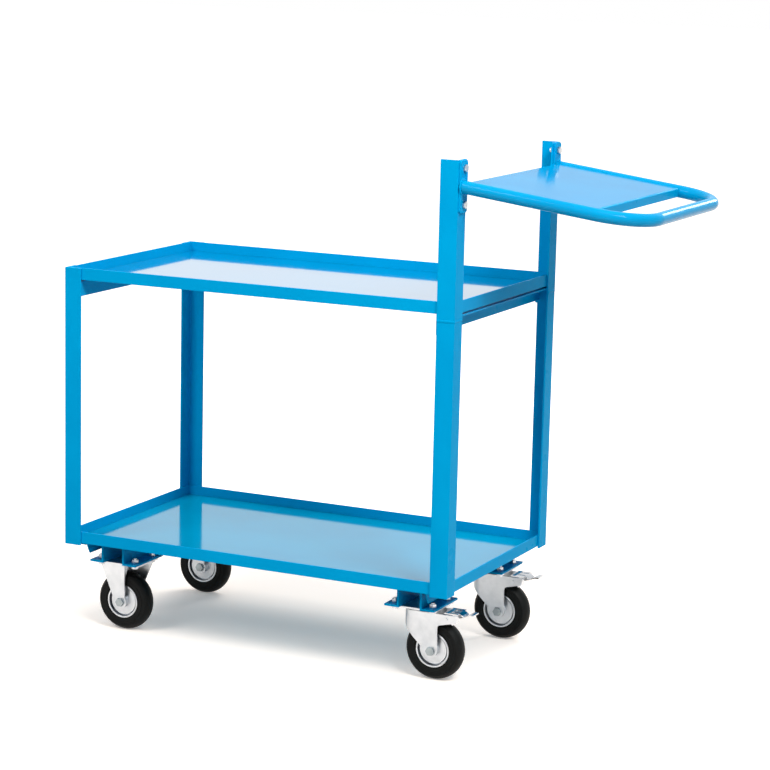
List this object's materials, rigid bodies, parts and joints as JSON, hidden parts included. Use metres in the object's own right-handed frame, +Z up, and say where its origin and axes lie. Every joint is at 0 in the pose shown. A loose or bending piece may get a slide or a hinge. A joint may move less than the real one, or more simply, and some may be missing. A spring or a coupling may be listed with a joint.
{
  "type": "order picking trolley",
  "caption": "Steel order picking trolley with upper and lower tray shelves on angle legs, a sloping desk with a tubular push handle, rigid casters and braked swivel casters.",
  "frame": {"origin": "on the floor, under the middle of the whole trolley's box", "axes": "+X along the trolley towards the push handle, +Y across it away from the camera of the picture, +Z up"},
  "size_m": [1.2268, 0.5, 1.024],
  "materials": {
    "blue_enamel": "smooth glossy sky-blue powder coat",
    "zinc_plate": "bright zinc-plated pressed steel",
    "tyre_rubber": "satin black solid rubber"
  },
  "bodies": {
    "frame": {"axle_front_left": "zinc_plate", "axle_rear_left": "zinc_plate", "caster_bolts": "zinc_plate", "caster_bracket_front_left": "blue_enamel", "caster_bracket_front_right": "blue_enamel", "caster_bracket_rear_left": "blue_enamel", "caster_bracket_rear_right": "blue_enamel", "desk_bolts": "zinc_plate", "desk_sheet": "blue_enamel", "desk_tab_front": "blue_enamel", "desk_tab_rear": "blue_enamel", "desk_tube": "blue_enamel", "floor_bar_left": "blue_enamel", "floor_bar_right": "blue_enamel", "king_pins": "zinc_plate", "leg_front_left": "blue_enamel", "leg_front_right": "blue_enamel", "leg_rear_left": "blue_enamel", "leg_rear_right": "blue_enamel", "lower_rim_front": "blue_enamel", "lower_rim_left": "blue_enamel", "lower_rim_rear": "blue_enamel", "lower_rim_right": "blue_enamel", "lower_shelf_floor": "blue_enamel", "post_front": "blue_enamel", "post_rear": "blue_enamel", "rigid_fork_front": "zinc_plate", "rigid_fork_rear": "zinc_plate", "shelf_rail_left": "blue_enamel", "shelf_rail_right": "blue_enamel", "splice_plates": "blue_enamel", "swivel_plate_front": "zinc_plate", "swivel_plate_rear": "zinc_plate", "upper_rim_front": "blue_enamel", "upper_rim_left": "blue_enamel", "upper_rim_rear": "blue_enamel", "upper_rim_right": "blue_enamel", "upper_shelf_floor": "blue_enamel"},
    "swivel_front": {"swivel_fork_front": "zinc_plate", "swivel_balls_front": "zinc_plate", "axle_front_right": "zinc_plate", "pedal_pin_front": "zinc_plate"},
    "swivel_rear": {"swivel_fork_rear": "zinc_plate", "swivel_balls_rear": "zinc_plate", "axle_rear_right": "zinc_plate", "pedal_pin_rear": "zinc_plate"},
    "wheel_front_left": {"tyre_front_left": "tyre_rubber", "wheel_discs_front_left": "zinc_plate", "wheel_hub_front_left": "zinc_plate"},
    "wheel_front_right": {"tyre_front_right": "tyre_rubber", "wheel_discs_front_right": "zinc_plate", "wheel_hub_front_right": "zinc_plate"},
    "wheel_rear_left": {"tyre_rear_left": "tyre_rubber", "wheel_discs_rear_left": "zinc_plate", "wheel_hub_rear_left": "zinc_plate"},
    "wheel_rear_right": {"tyre_rear_right": "tyre_rubber", "wheel_discs_rear_right": "zinc_plate", "wheel_hub_rear_right": "zinc_plate"},
    "pedal_front": {"brake_pedal_front": "zinc_plate"},
    "pedal_rear": {"brake_pedal_rear": "zinc_plate"}
  },
  "joints": [
    {"name": "swivel_front_turn", "type": "hinge", "parent": "frame", "child": "swivel_front", "pos_m": [0.15261, -0.165, 0.14], "axis": [0, 0, 1], "continuous": true},
    {"name": "swivel_rear_turn", "type": "hinge", "parent": "frame", "child": "swivel_rear", "pos_m": [0.15261, 0.165, 0.14], "axis": [0, 0, 1], "continuous": true},
    {"name": "wheel_front_left_roll", "type": "hinge", "parent": "frame", "child": "wheel_front_left", "pos_m": [-0.51739, -0.165, 0.061], "axis": [0, 1, 0], "continuous": true},
    {"name": "wheel_front_right_roll", "type": "hinge", "parent": "swivel_front", "child": "wheel_front_right", "pos_m": [0.18661, -0.165, 0.061], "axis": [0, 1, 0], "continuous": true},
    {"name": "wheel_rear_left_roll", "type": "hinge", "parent": "frame", "child": "wheel_rear_left", "pos_m": [-0.51739, 0.165, 0.061], "axis": [0, 1, 0], "continuous": true},
    {"name": "wheel_rear_right_roll", "type": "hinge", "parent": "swivel_rear", "child": "wheel_rear_right", "pos_m": [0.18661, 0.165, 0.061], "axis": [0, 1, 0], "continuous": true},
    {"name": "pedal_front_press", "type": "hinge", "parent": "swivel_front", "child": "pedal_front", "pos_m": [0.21861, -0.165, 0.129], "axis": [0, 1, 0], "range_deg": [0, 10]},
    {"name": "pedal_rear_press", "type": "hinge", "parent": "swivel_rear", "child": "pedal_rear", "pos_m": [0.21861, 0.165, 0.129], "axis": [0, 1, 0], "range_deg": [0, 10]}
  ]
}
